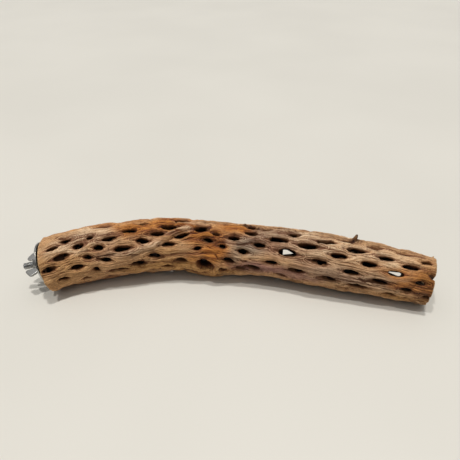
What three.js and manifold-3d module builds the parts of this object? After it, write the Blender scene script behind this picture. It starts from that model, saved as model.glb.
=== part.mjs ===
// A cholla cactus skeleton made up as a perch: a bent, hollow branch of weathered wood whose wall is a net of
// strands round lens-shaped holes, with a threaded stud, two large washers and a wing nut at its left end.
// Millimetres, +Z up. The branch lies on its side along X, and the camera side of it is -Y.
import * as THREE from "three";
import { mergeVertices } from "three/addons/utils/BufferGeometryUtils.js";
import Module from "manifold-3d";

const wasm = await Module();
wasm.setup();

// The stem line: x, y, height of its middle and outer radius, from the left end to the right.
const STEM_STATIONS = [
  [-200, -25, 23.6, 23],
  [-167, -3.9, 24.2, 23.9],
  [-140, 9, 25.2, 24.8],
  [-100, 17.9, 26.6, 24.9],
  [-55, 24.7, 26.6, 24.9],
  [-5, 20.8, 25.3, 23.7],
  [45, 12.9, 25.6, 23.7],
  [92, -0.4, 25.8, 24.3],
  [140, -13, 23.4, 22.7],
  [176, -22.6, 21.6, 21.3],
  [205, -31, 20.4, 20.5],
];
const LEFT_STATION = 1;
const RIGHT_STATION = 9;
const WALL = 8.5;
const MEAN_RADIUS = 24.5;
const MM_PER_DEGREE = (MEAN_RADIUS * Math.PI) / 180;
const GIRTH = 360 * MM_PER_DEGREE;

// The net: strands stand proud of the hole edges and fall to them over a few millimetres.
const STRAND_RISE = 0.9;
const EDGE_DROP = 0.7;
const STRAND_SHOULDER = 3.2;
const EDGE_FLARE = [1.2, 1];
const INNER_LENGTH = 0.82;
const LENS_SHARPNESS = 1.2;
const HOLE_SIDES = 8;
const KNOT_SIDES = 12;
const STRAND_STEP = 7;
const STRAND_CLEAR = 2.1;

// Holes on the side that faces the camera: mm along the stem from the left end, degrees round it from level
// with the camera up over the top, length, width, and lean in degrees.
const FRONT_HOLES = [
  [7, 68, 12, 3, 6], [21, 79, 9, 3, 2],
  [13, 43, 17, 5, 1], [31, 57, 11, 4.5, 8], [43, 74, 5.5, 2, 24],
  [-1, 24.5, 13, 4.5, 2], [26, 12, 14, 4.5, 0], [38, 29, 8.5, 4, -14], [49.5, 46, 8.5, 4.5, -9],
  [60, 63, 13.5, 4, 5], [78, 77, 12.5, 3.5, -3], [90, 95, 13, 3, 0],
  [9, -9, 9, 3, -9], [44.5, -4, 5.5, 3.5, -20], [55, 17, 10, 3.5, -16], [70, 36, 14.5, 5, 0],
  [88.5, 48, 11.5, 4.5, -11], [103, 62, 13, 3.5, -2], [114, 79, 14.5, 5, 2],
  [33, -26, 9, 3.5, -8], [65, -15, 13, 2.5, -6], [83, -4, 13.5, 4.5, -5], [99, 12, 11.5, 4, -7],
  [114, 36, 13.5, 3.5, 3], [127, 57, 15, 3, 22], [144.5, 80, 13.5, 7, 16],
  [112, -19, 13, 3, 0], [127.5, -2, 11.5, 4, -1], [143, 30, 8, 3.5, 15], [152, 51, 9, 4, -2],
  [159, 69, 7, 3, -7], [166.5, 39, 5.5, 3.5, -5], [135, -33, 11, 3.5, -20], [167, -22, 5.5, 5, 0],
  [173, 7, 10.5, 4.5, -13], [186, 31, 10.5, 4.5, -8], [201, 49.5, 11, 4.5, -9],
  [218, 69, 18, 5, 2], [231, 89, 13, 5, 5],
  [176.5, 62, 10.5, 3.5, -3], [191.5, 79, 12.5, 4, -6], [206.5, 100, 8.5, 3, 12],
  [197, -8, 11, 3.5, -10], [213.5, 12, 12.5, 3.5, -2], [228, 40, 17.5, 5.8, -3],
  [245, 63, 18.5, 5, 3], [260, 81, 16.5, 4, 4], [277, 96, 9, 3, 4],
  [223, -22, 13.5, 3, -10], [238, 1, 15.5, 4.5, 1], [257, 30.5, 13, 4, -3], [272, 52, 13.5, 4.5, 2],
  [285.5, 74.5, 17, 4, 5], [300, 96, 9.5, 3.5, 4],
  [267, -6.5, 13.5, 3.5, -3], [284, 21, 14, 4, -2], [297.5, 47, 14, 4.5, 1], [312, 70, 14, 3.5, 1],
  [328, 93, 11, 3, 0],
  [292, -12, 17, 3.5, 2], [309, 11, 14, 4, -3], [321, 38, 13, 3.5, 1], [332, 59, 15, 4, 5],
  [345, 80, 9, 4, 7],
  [321, -23, 9.5, 3, -6], [332, 3, 9.5, 4.2, -2], [342, 27, 7.5, 3.5, 2], [352, 46, 7.5, 3.5, -20],
  [338, -23, 9.5, 2.5, 10], [350, -9, 6, 4, 1],
];
// Holes at the back that three of the front ones look through to.
const WINDOW_HOLES = [[226.5, 218, 18, 7, 0], [325, 216, 14, 6, 0], [337, 248, 13, 6.5, 0]];
// The round hole of a lost side branch, and the swelling of the stem round and under it.
const KNOT_HOLE = [151, -8, 17, 12.5, -12];
const KNOT_SWELLING = { along: 155, round: -38, rise: 4.2, length: 13, spread: 34 };

// The rest of the net follows the growth spirals: two steps, each in mm along and degrees round.
const SPIRAL_START = [333, 97];
const SPIRAL_STEP = [15.5, 22.5];
const SPIRAL_ROW_STEP = [27, -12.5];
const SPIRAL_REACH = 40;
const HIDDEN_SIDE = [90, 345];
const HIDDEN_OVERHANG = 8;
const HIDDEN_SPREAD = { along: 1.5, round: 2.5, length: 3, width: 0.8, lean: 7 };
const HIDDEN_HOLE = { length: 13, width: 4.2 };
const HOLE_SPACING = 2.5;
const HOLE_REACH = 20;
const SEED = 7;
// Bare patches: where the stem touches the ground, and where the net would cross a feature.
const BARE_PATCHES = [
  [20, 268, 9], [160, 270, 10], [332, 268, 9], [4, 334, 7], [262.5, 96, 5], [250, 346, 6],
  [89, 209, 7], [65, 219, 8], [286, 230, 6], [176, 229, 3], [299, 201, 3], [47, 201, 3],
  [35, 235, 3], [133, 221, 3], [11, 95, 3],
];

// The strand that wanders over the net like a laid rope, and the stub of a twig.
const ROPE_STRAND = [[70, 22], [84, 31], [97, 37], [110, 50], [121, 66], [133, 80]];
const ROPE_RISE = 1.6;
const ROPE_WIDTH = 4;
const TWIG = { along: 282.5, round: 103, height: 6.5, base: 3, tip: 1.4, sunk: 4, lean: 6, sides: 7 };

// The left end is sawn square to the stud, which leans a little off the stem.
const STUD_AXIS = new THREE.Vector3(-0.978, -0.116, -0.172).normalize();
const STUD_RAISE = 3.4;
const LEFT_TRIM = 2;
const STUD_RADIUS = 3;
const STUD_OUT = 22.5;
const STUD_IN = 22;
const STUD_TIP_CHAMFER = 0.7;
const STUD_POINT = { radius: 2.7, length: 5, run: 2 };
const STUD_SIDES = 20;
const RUNNING_GAP = 0.3;
const INNER_WASHER_RADIUS = 17.5;
const OUTER_WASHER_RADIUS = 19;
const WASHER_THICKNESS = 1.6;
const WASHER_BEVEL = 0.25;
const WASHER_SIDES = 36;
// The room left between the washers for the wire of a cage.
const WIRE_GAP = 1.2;
const PLUG_LENGTH = 30;
const PLUG_GAP = 0.9;
const PLUG_SIDES = 20;
const PLUG_RINGS = 7;
const BORE_SIDES = 16;
const BORE_PAST = [1, 8];

// Wing nut.
const NUT_BASE_RADIUS = 6.3;
const NUT_TOP_RADIUS = 5;
const NUT_HEIGHT = 8;
const NUT_CORE = 0.5;
const NUT_COLLAR = 1.4;
const NUT_BEVEL = 0.6;
const NUT_SIDES = 24;
const WING_SPAN = 26;
const WING_HEIGHT = 15;
const WING_ROOT = 4;
const WING_THICKNESS = 2.2;
const WING_TURN = -17;
const WING_CURVE_STEPS = 6;

const WOOD_COLOUR = 0xb98a5e;
const PLUG_COLOUR = 0x8a6238;
const STEEL_COLOUR = 0xb4b6b8;

// A repeatable random number from 0 to 1.
function makeRandom(seed) {
  let state = seed;
  return () => {
    state = (Math.imul(state, 1664525) + 1013904223) >>> 0;
    return state / 4294967296;
  };
}
const random = makeRandom(SEED);
const spread = (reach) => (random() * 2 - 1) * reach;

// The stem line as a table of points by arc length, with zero at the left end.
function makeStem() {
  const stepsPerSpan = 60;
  const ends = [STEM_STATIONS[0], ...STEM_STATIONS, STEM_STATIONS.at(-1)];
  const rows = [];
  for (let span = 0; span < STEM_STATIONS.length - 1; span++) {
    for (let step = 0; step < stepsPerSpan; step++) {
      const t = step / stepsPerSpan;
      const value = (k) => {
        const [a, b, c, d] = [0, 1, 2, 3].map((n) => ends[span + n][k]);
        return b + 0.5 * t * (c - a + t * (2 * a - 5 * b + 4 * c - d + t * (3 * (b - c) + d - a)));
      };
      rows.push({ point: new THREE.Vector3(value(0), value(1), value(2)), radius: value(3) });
    }
  }
  let length = 0;
  rows.forEach((row, k) => {
    if (k) length += row.point.distanceTo(rows[k - 1].point);
    row.along = length;
  });
  const start = rows[LEFT_STATION * stepsPerSpan].along;
  const finish = rows[RIGHT_STATION * stepsPerSpan].along;
  rows.forEach((row) => (row.along -= start));
  return { rows, length: finish - start };
}
const stem = makeStem();

// Where the stem is at a distance along it: middle, radius, and the directions along, to the front and up.
function stemAt(along) {
  const rows = stem.rows;
  let k = rows.findIndex((row) => row.along > along);
  if (k < 1) k = k < 0 ? rows.length - 1 : 1;
  const [before, after] = [rows[k - 1], rows[k]];
  const t = (along - before.along) / (after.along - before.along);
  const forward = after.point.clone().sub(before.point).normalize();
  const up = new THREE.Vector3(0, 0, 1).addScaledVector(forward, -forward.z).normalize();
  return {
    middle: before.point.clone().lerp(after.point, t),
    radius: before.radius + t * (after.radius - before.radius),
    forward,
    up,
    front: new THREE.Vector3().crossVectors(forward, up),
  };
}

function pointAt(along, degrees, depth) {
  const { middle, radius, front, up } = stemAt(along);
  const angle = THREE.MathUtils.degToRad(degrees);
  return middle
    .addScaledVector(front, (radius - depth) * Math.cos(angle))
    .addScaledVector(up, (radius - depth) * Math.sin(angle));
}

// The surface is laid out flat to place the holes: u is mm along, v is mm round.
function wrapped(v) {
  return ((((v + GIRTH / 2) % GIRTH) + GIRTH) % GIRTH) - GIRTH / 2;
}

function makeHole([along, round, length, width, lean], sides = HOLE_SIDES) {
  const angle = THREE.MathUtils.degToRad(lean);
  const [cos, sin] = [Math.cos(angle), Math.sin(angle)];
  return { u: along, v: round * MM_PER_DEGREE, length, width, sides, cos, sin };
}

// How far a place is outside a hole's edge, in mm.
function outside(hole, u, v) {
  const du = u - hole.u;
  const dv = wrapped(v - hole.v);
  const x = du * hole.cos + dv * hole.sin;
  const y = dv * hole.cos - du * hole.sin;
  const across = Math.hypot(x, y);
  const size = Math.hypot(x / (hole.length / 2), y / (hole.width / 2));
  return size > 0 ? across * (1 - 1 / size) : -hole.width / 2;
}

// A point of a hole's edge: a lens with its two tips along the stem, or a plain oval for the knot.
function edgePoint(hole, k, flare, lengthScale = 1) {
  const angle = (2 * Math.PI * k) / hole.sides;
  const bulge = hole.sides === KNOT_SIDES ? 1 : LENS_SHARPNESS;
  const x = (hole.length / 2 + flare[0] / 2) * lengthScale * Math.cos(angle);
  const sine = Math.sin(angle);
  const y = (hole.width / 2 + flare[1] / 2) * Math.sign(sine) * Math.abs(sine) ** bulge;
  return [hole.u + x * hole.cos - y * hole.sin, hole.v + x * hole.sin + y * hole.cos];
}

// A new hole fits where every point of its edge is clear of the holes that are there.
function fits(hole, holes) {
  for (let k = 0; k < hole.sides; k++) {
    const [u, v] = edgePoint(hole, k, EDGE_FLARE);
    if (holes.some((other) => outside(other, u, v) < HOLE_SPACING)) return false;
  }
  return !holes.some((other) => {
    if (Math.abs(other.u - hole.u) > HOLE_REACH) return false;
    for (let k = 0; k < other.sides; k++) {
      const [u, v] = edgePoint(other, k, EDGE_FLARE);
      if (outside(hole, u, v) < HOLE_SPACING) return true;
    }
    return false;
  });
}

function makeHoles() {
  const holes = [makeHole(KNOT_HOLE, KNOT_SIDES)];
  [...FRONT_HOLES, ...WINDOW_HOLES].forEach((row) => holes.push(makeHole(row)));
  const asHole = ([along, round, reach]) => makeHole([along, round, 2 * reach, 2 * reach, 0]);
  const patches = BARE_PATCHES.map(asHole);
  for (let row = -SPIRAL_REACH; row <= SPIRAL_REACH; row++) {
    for (let step = -SPIRAL_REACH; step <= SPIRAL_REACH; step++) {
      const along = SPIRAL_START[0] + step * SPIRAL_STEP[0] + row * SPIRAL_ROW_STEP[0];
      const round = SPIRAL_START[1] + step * SPIRAL_STEP[1] + row * SPIRAL_ROW_STEP[1];
      if (round < HIDDEN_SIDE[0] || round > HIDDEN_SIDE[1]) continue;
      if (along < -HIDDEN_OVERHANG || along > stem.length + HIDDEN_OVERHANG) continue;
      const length = HIDDEN_HOLE.length + spread(HIDDEN_SPREAD.length);
      const width = HIDDEN_HOLE.width + spread(HIDDEN_SPREAD.width);
      const place = [along + spread(HIDDEN_SPREAD.along), round + spread(HIDDEN_SPREAD.round)];
      const hole = makeHole([...place, length, width, spread(HIDDEN_SPREAD.lean)]);
      if (fits(hole, holes) && fits(hole, patches)) holes.push(hole);
    }
  }
  return holes;
}
const holes = makeHoles();

const smooth = (t) => THREE.MathUtils.smoothstep(t, 0, 1);

// Distance from a place to the rope strand's line, in mm.
function ropeDistance(u, v) {
  let least = Infinity;
  for (let k = 1; k < ROPE_STRAND.length; k++) {
    const ends = [ROPE_STRAND[k - 1], ROPE_STRAND[k]];
    const [a, b] = ends.map(([along, round]) => [along, round * MM_PER_DEGREE]);
    const du = b[0] - a[0];
    const dv = b[1] - a[1];
    const pv = wrapped(v - a[1]);
    const t = THREE.MathUtils.clamp(((u - a[0]) * du + pv * dv) / (du * du + dv * dv), 0, 1);
    least = Math.min(least, Math.hypot(u - a[0] - t * du, pv - t * dv));
  }
  return least;
}

// How far the surface stands out from the plain stem.
function relief(u, v) {
  const nearest = Math.min(...holes.map((hole) => outside(hole, u, v)));
  const strand = smooth(nearest / STRAND_SHOULDER) * (STRAND_RISE + EDGE_DROP) - EDGE_DROP;
  const rope = ROPE_RISE * (1 - smooth(ropeDistance(u, v) / ROPE_WIDTH));
  const along = (u - KNOT_SWELLING.along) / KNOT_SWELLING.length;
  const round = wrapped(v - KNOT_SWELLING.round * MM_PER_DEGREE) / MM_PER_DEGREE / KNOT_SWELLING.spread;
  return strand + rope + KNOT_SWELLING.rise * Math.exp(-(along * along + round * round) / 2);
}

// The points of the net: hole edges, both open ends, and the crests of the strands between the holes.
const END_MARGIN = 14;
const END_SIDES = 26;
const GHOST_STEP = 7;
const CREST_GRID = 1.7;
const CREST_SPREAD = 0.5;
const CREST_MARGIN = [3, 2];
// A corner far outside the flat net, for its first triangle, and how much is laid twice at the seam.
const FAR = 4000;
const SEAM_OVERLAP = 30;

function makeSheetPoints() {
  const points = [];
  holes.forEach((hole, owner) => {
    for (let k = 0; k < hole.sides; k++) {
      const [u, v] = edgePoint(hole, k, EDGE_FLARE);
      points.push({ u, v, owner, inner: edgePoint(hole, k, [0, 0], INNER_LENGTH) });
    }
  });
  const ends = [-END_MARGIN, stem.length + END_MARGIN];
  ends.forEach((u, side) => {
    for (let k = 0; k < END_SIDES; k++) {
      const v = ((k + 0.3 * side) * GIRTH) / END_SIDES;
      points.push({ u, v }, { u: u + (side ? GHOST_STEP : -GHOST_STEP), v: v + 1, ghost: true });
    }
  });
  const crests = [];
  for (let u = ends[0] + CREST_MARGIN[0]; u < ends[1] - CREST_MARGIN[1]; u += CREST_GRID) {
    for (let v = 0; v < GIRTH; v += CREST_GRID) {
      const crest = { u: u + spread(CREST_SPREAD), v: v + spread(CREST_SPREAD) };
      const crowded = (other) => Math.hypot(crest.u - other.u, wrapped(crest.v - other.v)) < STRAND_STEP;
      if (crests.some(crowded)) continue;
      if (holes.some((hole) => outside(hole, crest.u, crest.v) < STRAND_CLEAR + EDGE_FLARE[1] / 2)) continue;
      crests.push(crest);
    }
  }
  points.push(...crests);
  points.forEach((point) => (point.v = wrapped(point.v)));
  return points;
}

// Delaunay triangles of a list of flat points, by adding them one at a time.
function triangulate(points) {
  const all = [...points, { u: -FAR, v: -FAR }, { u: FAR, v: -FAR }, { u: 0, v: FAR }];
  const circle = (a, b, c) => {
    const [p, q, r] = [all[a], all[b], all[c]];
    const [bu, bv, cu, cv] = [q.u - p.u, q.v - p.v, r.u - p.u, r.v - p.v];
    const d = 2 * (bu * cv - bv * cu);
    const [bb, cc] = [bu * bu + bv * bv, cu * cu + cv * cv];
    const [x, y] = [(cv * bb - bv * cc) / d, (bu * cc - cu * bb) / d];
    return { a, b, c, u: p.u + x, v: p.v + y, reach: x * x + y * y };
  };
  let triangles = [circle(points.length, points.length + 1, points.length + 2)];
  points.forEach((point, index) => {
    const edges = new Map();
    const kept = [];
    for (const t of triangles) {
      if ((point.u - t.u) ** 2 + (point.v - t.v) ** 2 >= t.reach) {
        kept.push(t);
        continue;
      }
      for (const [a, b] of [[t.a, t.b], [t.b, t.c], [t.c, t.a]]) {
        if (!edges.delete(b + "," + a)) edges.set(a + "," + b, [a, b]);
      }
    }
    for (const [a, b] of edges.values()) kept.push(circle(a, b, index));
    triangles = kept;
  });
  return triangles.filter((t) => Math.max(t.a, t.b, t.c) < points.length);
}

// The flat net as triangles that close round the girth, with the holes left open.
function makeSheet() {
  const points = makeSheetPoints();
  const copies = points.map((point, index) => ({ ...point, index }));
  points.forEach((point, index) => {
    if (point.v < SEAM_OVERLAP - GIRTH / 2) copies.push({ ...point, index, v: point.v + GIRTH });
    if (point.v > GIRTH / 2 - SEAM_OVERLAP) copies.push({ ...point, index, v: point.v - GIRTH });
  });
  const triangles = [];
  for (const { a, b, c } of triangulate(copies)) {
    const corners = [copies[a], copies[b], copies[c]];
    const middle = (corners[0].v + corners[1].v + corners[2].v) / 3;
    if (middle < -GIRTH / 2 || middle >= GIRTH / 2) continue;
    if (corners.some((corner) => corner.ghost)) continue;
    const { owner } = corners[0];
    if (owner !== undefined && corners.every((corner) => corner.owner === owner)) continue;
    triangles.push(corners.map((corner) => corner.index));
  }
  return { points, triangles };
}

// The net lifted to its outer and inner faces, with a wall down every open edge.
function makeNetSolid() {
  const { points, triangles } = makeSheet();
  const count = points.length;
  const positions = [];
  points.forEach(({ u, v }) => {
    positions.push(...pointAt(u, v / MM_PER_DEGREE, -relief(u, v)).toArray());
  });
  points.forEach(({ u, v, inner }) => {
    const [innerU, innerV] = inner ?? [u, v];
    positions.push(...pointAt(innerU, innerV / MM_PER_DEGREE, WALL).toArray());
  });
  const faces = [];
  const edges = new Map();
  for (const [a, b, c] of triangles) {
    faces.push(a, b, c, count + a, count + c, count + b);
    for (const [p, q] of [[a, b], [b, c], [c, a]]) {
      if (!edges.delete(q + "," + p)) edges.set(p + "," + q, [p, q]);
    }
  }
  for (const [p, q] of edges.values()) faces.push(q, p, count + p, q, count + p, count + q);
  return solidOf(positions, faces);
}

// Geometry to solid and back.
function solidOf(positions, faces) {
  const vertProperties = new Float32Array(positions);
  const triVerts = new Uint32Array(faces);
  return new wasm.Manifold(new wasm.Mesh({ numProp: 3, vertProperties, triVerts }));
}

function solidFrom(geometry, place) {
  const bare = geometry.index ? geometry.toNonIndexed() : geometry.clone();
  bare.deleteAttribute("normal");
  bare.deleteAttribute("uv");
  if (place) bare.applyMatrix4(place);
  const merged = mergeVertices(bare, 1e-4);
  return solidOf(merged.attributes.position.array, merged.index.array);
}

function geometryFrom(solid) {
  const mesh = solid.getMesh();
  const positions = new Float32Array(mesh.numVert * 3);
  for (let k = 0; k < mesh.numVert; k++) {
    positions.set(mesh.vertProperties.subarray(k * mesh.numProp, k * mesh.numProp + 3), 3 * k);
  }
  const geometry = new THREE.BufferGeometry();
  geometry.setAttribute("position", new THREE.BufferAttribute(positions, 3));
  geometry.setIndex(new THREE.BufferAttribute(mesh.triVerts, 1));
  const facets = geometry.toNonIndexed();
  facets.computeVertexNormals();
  return facets;
}

// A matrix that puts a shape's +Y along a direction, its +X near to another, and its origin at a point.
function placedAlong(direction, origin, towards = new THREE.Vector3(0, 0, 1)) {
  const y = direction.clone().normalize();
  const x = towards.clone().addScaledVector(y, -towards.dot(y)).normalize();
  const z = new THREE.Vector3().crossVectors(x, y);
  return new THREE.Matrix4().makeBasis(x, y, z).setPosition(origin);
}

// A block that fills everything past a plane, round a point of it.
const BLOCK_SIZE = 160;

function beyond(point, direction) {
  const block = new THREE.BoxGeometry(BLOCK_SIZE, BLOCK_SIZE, BLOCK_SIZE).translate(0, BLOCK_SIZE / 2, 0);
  return solidFrom(block, placedAlong(direction, point, new THREE.Vector3(0.02, 0.3, 1)));
}

const leftEnd = stemAt(LEFT_TRIM);
const rightEnd = stemAt(stem.length);
const pastLeft = beyond(leftEnd.middle, STUD_AXIS);
const pastRight = beyond(rightEnd.middle, rightEnd.forward);
// The seat is where the stud leaves the sawn plane, above the stem's middle.
const raised = leftEnd.up.clone().multiplyScalar(STUD_RAISE);
const seat = leftEnd.middle.clone().add(raised).addScaledVector(STUD_AXIS, -raised.dot(STUD_AXIS));
const onStud = (distance) => seat.clone().addScaledVector(STUD_AXIS, distance);

function makeTwig() {
  const { height, base, tip, sunk, along, round, lean, sides } = TWIG;
  const shape = new THREE.CylinderGeometry(tip, base, height + sunk, sides);
  shape.translate(0, (height - sunk) / 2, 0);
  const root = pointAt(along, round, 0);
  const outward = root.clone().sub(stemAt(along).middle).addScaledVector(stemAt(along).forward, lean);
  return solidFrom(shape, placedAlong(outward, root));
}

// The ground planes off the low side in three places, where the stem then rests.
const GROUND_BLOCKS = [-120, 0, 120];

function makeWood() {
  const down = new THREE.Vector3(0, 0, -1);
  let wood = makeNetSolid().add(makeTwig()).subtract(pastLeft).subtract(pastRight);
  GROUND_BLOCKS.forEach((x) => (wood = wood.subtract(beyond(new THREE.Vector3(x, 0, 0), down))));
  return geometryFrom(wood);
}

// The hardwood plug glued into the hollow, bored for the stud.
function makePlug() {
  const start = -END_MARGIN;
  const positions = [];
  const faces = [];
  for (let ring = 0; ring < PLUG_RINGS; ring++) {
    const along = start + ((PLUG_LENGTH - start) * ring) / (PLUG_RINGS - 1);
    for (let k = 0; k < PLUG_SIDES; k++) {
      positions.push(...pointAt(along, (360 * k) / PLUG_SIDES, WALL + PLUG_GAP).toArray());
    }
  }
  const [first, last] = [PLUG_RINGS * PLUG_SIDES, PLUG_RINGS * PLUG_SIDES + 1];
  positions.push(...stemAt(start).middle.toArray(), ...stemAt(PLUG_LENGTH).middle.toArray());
  for (let k = 0; k < PLUG_SIDES; k++) {
    const next = (k + 1) % PLUG_SIDES;
    for (let ring = 0; ring < PLUG_RINGS - 1; ring++) {
      const [a, b] = [ring * PLUG_SIDES, (ring + 1) * PLUG_SIDES];
      faces.push(a + k, b + k, b + next, a + k, b + next, a + next);
    }
    const end = (PLUG_RINGS - 1) * PLUG_SIDES;
    faces.push(first, k, next, last, end + next, end + k);
  }
  const body = solidOf(positions, faces);
  const [deeper, outside] = BORE_PAST;
  const depth = STUD_IN + deeper;
  const radius = STUD_RADIUS + RUNNING_GAP;
  const bore = new THREE.CylinderGeometry(radius, radius, depth + outside, BORE_SIDES);
  bore.translate(0, (outside - depth) / 2, 0);
  return geometryFrom(body.subtract(pastLeft).subtract(solidFrom(bore, placedAlong(STUD_AXIS, seat))));
}

// The stud: blunt at the free end, with a screw point in the plug.
function makeStud() {
  const point = STUD_POINT.length - STUD_IN;
  const outline = [
    [0, -STUD_IN], [STUD_POINT.radius, point], [STUD_RADIUS, point + STUD_POINT.run],
    [STUD_RADIUS, STUD_OUT - STUD_TIP_CHAMFER], [STUD_RADIUS - STUD_TIP_CHAMFER, STUD_OUT], [0, STUD_OUT],
  ];
  return new THREE.LatheGeometry(outline.map(([x, y]) => new THREE.Vector2(x, y)), STUD_SIDES);
}

function makeRing(points, sides) {
  return new THREE.LatheGeometry([...points, points[0]].map(([x, y]) => new THREE.Vector2(x, y)), sides);
}

function makeWasher(rim) {
  const hole = STUD_RADIUS + RUNNING_GAP;
  const top = WASHER_THICKNESS;
  const outline = [[hole, 0], [rim, 0], [rim, top - WASHER_BEVEL], [rim - WASHER_BEVEL, top], [hole, top]];
  return makeRing(outline, WASHER_SIDES);
}

// One wing as a flat ear that rises past the top of the nut: the nut's axis is y, and x points out.
function wingShape() {
  const reach = WING_SPAN / 2;
  const ear = new THREE.Shape();
  ear.moveTo(WING_ROOT, 1.2);
  ear.lineTo(6.4, 1);
  ear.bezierCurveTo(8.2, 2, 10.4, 4.6, reach - 1.2, 7.2);
  ear.bezierCurveTo(reach + 0.2, 9, reach + 0.3, 10.8, reach - 1.4, 12);
  ear.bezierCurveTo(reach - 3, 13.4, 8.6, WING_HEIGHT, 7.2, WING_HEIGHT);
  ear.bezierCurveTo(5.8, WING_HEIGHT, 5.4, 13.6, 5.3, 11.6);
  ear.bezierCurveTo(5.2, 9.4, 4.8, 8.2, WING_ROOT, 7.4);
  ear.closePath();
  return ear;
}

function makeWingNut() {
  const top = NUT_TOP_RADIUS;
  const boss = makeRing([
    [NUT_CORE, 0], [NUT_BASE_RADIUS, 0], [NUT_BASE_RADIUS, NUT_COLLAR], [top, NUT_HEIGHT - NUT_BEVEL],
    [top - NUT_BEVEL, NUT_HEIGHT], [NUT_CORE, NUT_HEIGHT],
  ], NUT_SIDES);
  let nut = solidFrom(boss);
  const options = { depth: WING_THICKNESS, curveSegments: WING_CURVE_STEPS, bevelEnabled: false };
  const ear = new THREE.ExtrudeGeometry(wingShape(), options).translate(0, 0, -WING_THICKNESS / 2);
  for (const turn of [0, Math.PI]) nut = nut.add(solidFrom(ear, new THREE.Matrix4().makeRotationY(turn)));
  const hole = STUD_RADIUS + RUNNING_GAP;
  const bore = new THREE.CylinderGeometry(hole, hole, BLOCK_SIZE, STUD_SIDES);
  return geometryFrom(nut.subtract(solidFrom(bore)));
}

function finish(color, roughness, metalness) {
  return new THREE.MeshStandardMaterial({ color, roughness, metalness });
}
const steel = () => finish(STEEL_COLOUR, 0.3, 1);

function named(name, geometry, material) {
  const mesh = new THREE.Mesh(geometry, material);
  mesh.name = name;
  return mesh;
}

// The hardware stands on the stud's axis, which each piece's own +Y follows.
function onAxis(mesh, distance, turn = 0) {
  const holder = new THREE.Group();
  placedAlong(STUD_AXIS, onStud(distance), new THREE.Vector3(0, 1, 0)).decompose(
    holder.position, holder.quaternion, holder.scale,
  );
  mesh.rotation.y = THREE.MathUtils.degToRad(turn);
  holder.add(mesh);
  return holder;
}

const innerWasherAt = RUNNING_GAP;
const outerWasherAt = innerWasherAt + WASHER_THICKNESS + WIRE_GAP;
const wingNutAt = outerWasherAt + WASHER_THICKNESS + RUNNING_GAP;

const part = new THREE.Group();
part.add(named("cholla_wood", makeWood(), finish(WOOD_COLOUR, 0.85, 0)));
part.add(named("end_plug", makePlug(), finish(PLUG_COLOUR, 0.8, 0)));
part.add(onAxis(named("stud", makeStud(), steel()), 0));
part.add(onAxis(named("inner_washer", makeWasher(INNER_WASHER_RADIUS), steel()), innerWasherAt));
part.add(onAxis(named("outer_washer", makeWasher(OUTER_WASHER_RADIUS), steel()), outerWasherAt));
part.add(onAxis(named("wing_nut", makeWingNut(), steel()), wingNutAt, WING_TURN));

// The origin is on the ground under the middle of the part.
part.updateMatrixWorld(true);
const box = new THREE.Box3().setFromObject(part, true);
part.position.set(-(box.min.x + box.max.x) / 2, -(box.min.y + box.max.y) / 2, -box.min.z);

export default part;
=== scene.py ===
"""A cholla cactus skeleton made up as a perch: a net of weathered wood with clamp hardware at one end."""
import math

import bmesh
import bpy
import numpy as np
from mathutils import Matrix, Vector


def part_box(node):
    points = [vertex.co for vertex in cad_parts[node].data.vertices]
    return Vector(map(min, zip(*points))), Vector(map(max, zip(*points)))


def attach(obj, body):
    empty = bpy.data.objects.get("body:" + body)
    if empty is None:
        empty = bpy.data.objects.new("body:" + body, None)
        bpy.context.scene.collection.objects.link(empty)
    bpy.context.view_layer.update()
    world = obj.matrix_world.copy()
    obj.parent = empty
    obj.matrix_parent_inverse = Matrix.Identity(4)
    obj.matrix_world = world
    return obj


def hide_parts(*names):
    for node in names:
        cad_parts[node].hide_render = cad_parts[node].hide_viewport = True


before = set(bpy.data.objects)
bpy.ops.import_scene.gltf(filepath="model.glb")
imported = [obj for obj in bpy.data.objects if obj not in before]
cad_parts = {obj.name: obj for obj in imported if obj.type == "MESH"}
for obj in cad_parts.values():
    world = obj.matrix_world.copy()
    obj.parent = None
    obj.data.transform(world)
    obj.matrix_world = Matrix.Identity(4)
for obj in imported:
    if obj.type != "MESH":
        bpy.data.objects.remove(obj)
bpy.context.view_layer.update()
MM = 0.001

# The stem line in millimetres, as x, y, height of its middle and outer radius, in the stem's own frame.
STEM_STATIONS = np.array([
    (-200, -25, 23.6, 23), (-167, -3.9, 24.2, 23.9), (-140, 9, 25.2, 24.8), (-100, 17.9, 26.6, 24.9),
    (-55, 24.7, 26.6, 24.9), (-5, 20.8, 25.3, 23.7), (45, 12.9, 25.6, 23.7), (92, -0.4, 25.8, 24.3),
    (140, -13, 23.4, 22.7), (176, -22.6, 21.6, 21.3), (205, -31, 20.4, 20.5),
], float)
STEM_SHIFT = np.array([3.254, -3.366, 0.0])
LEFT_STATION, RIGHT_STATION = 1, 9
STEPS_PER_SPAN = 60
WALL = 8.5

# Places round the stem are in mm on a tube of the mean radius. Zero is level, on the side that shows.
MEAN_RADIUS = 24.5
MM_PER_DEGREE = math.radians(MEAN_RADIUS)
GIRTH = 360 * MM_PER_DEGREE

# The stud's direction out of the left end, and where it leaves the sawn face.
STUD_AXIS = Vector((-0.978233, -0.116028, -0.172041))
SEAT = Vector((-0.162578, -0.006379, 0.02756))
MERGE_DISTANCE = 1e-6

# The camera stands where the photograph was taken from.
CAMERA_PLACE = (0.00279, -0.34069, 0.29663)
CAMERA_TILT = 35
CAMERA_FOCAL_PIXELS = 470
PHOTO_PIXELS = 460
SENSOR = 36.0


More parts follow.
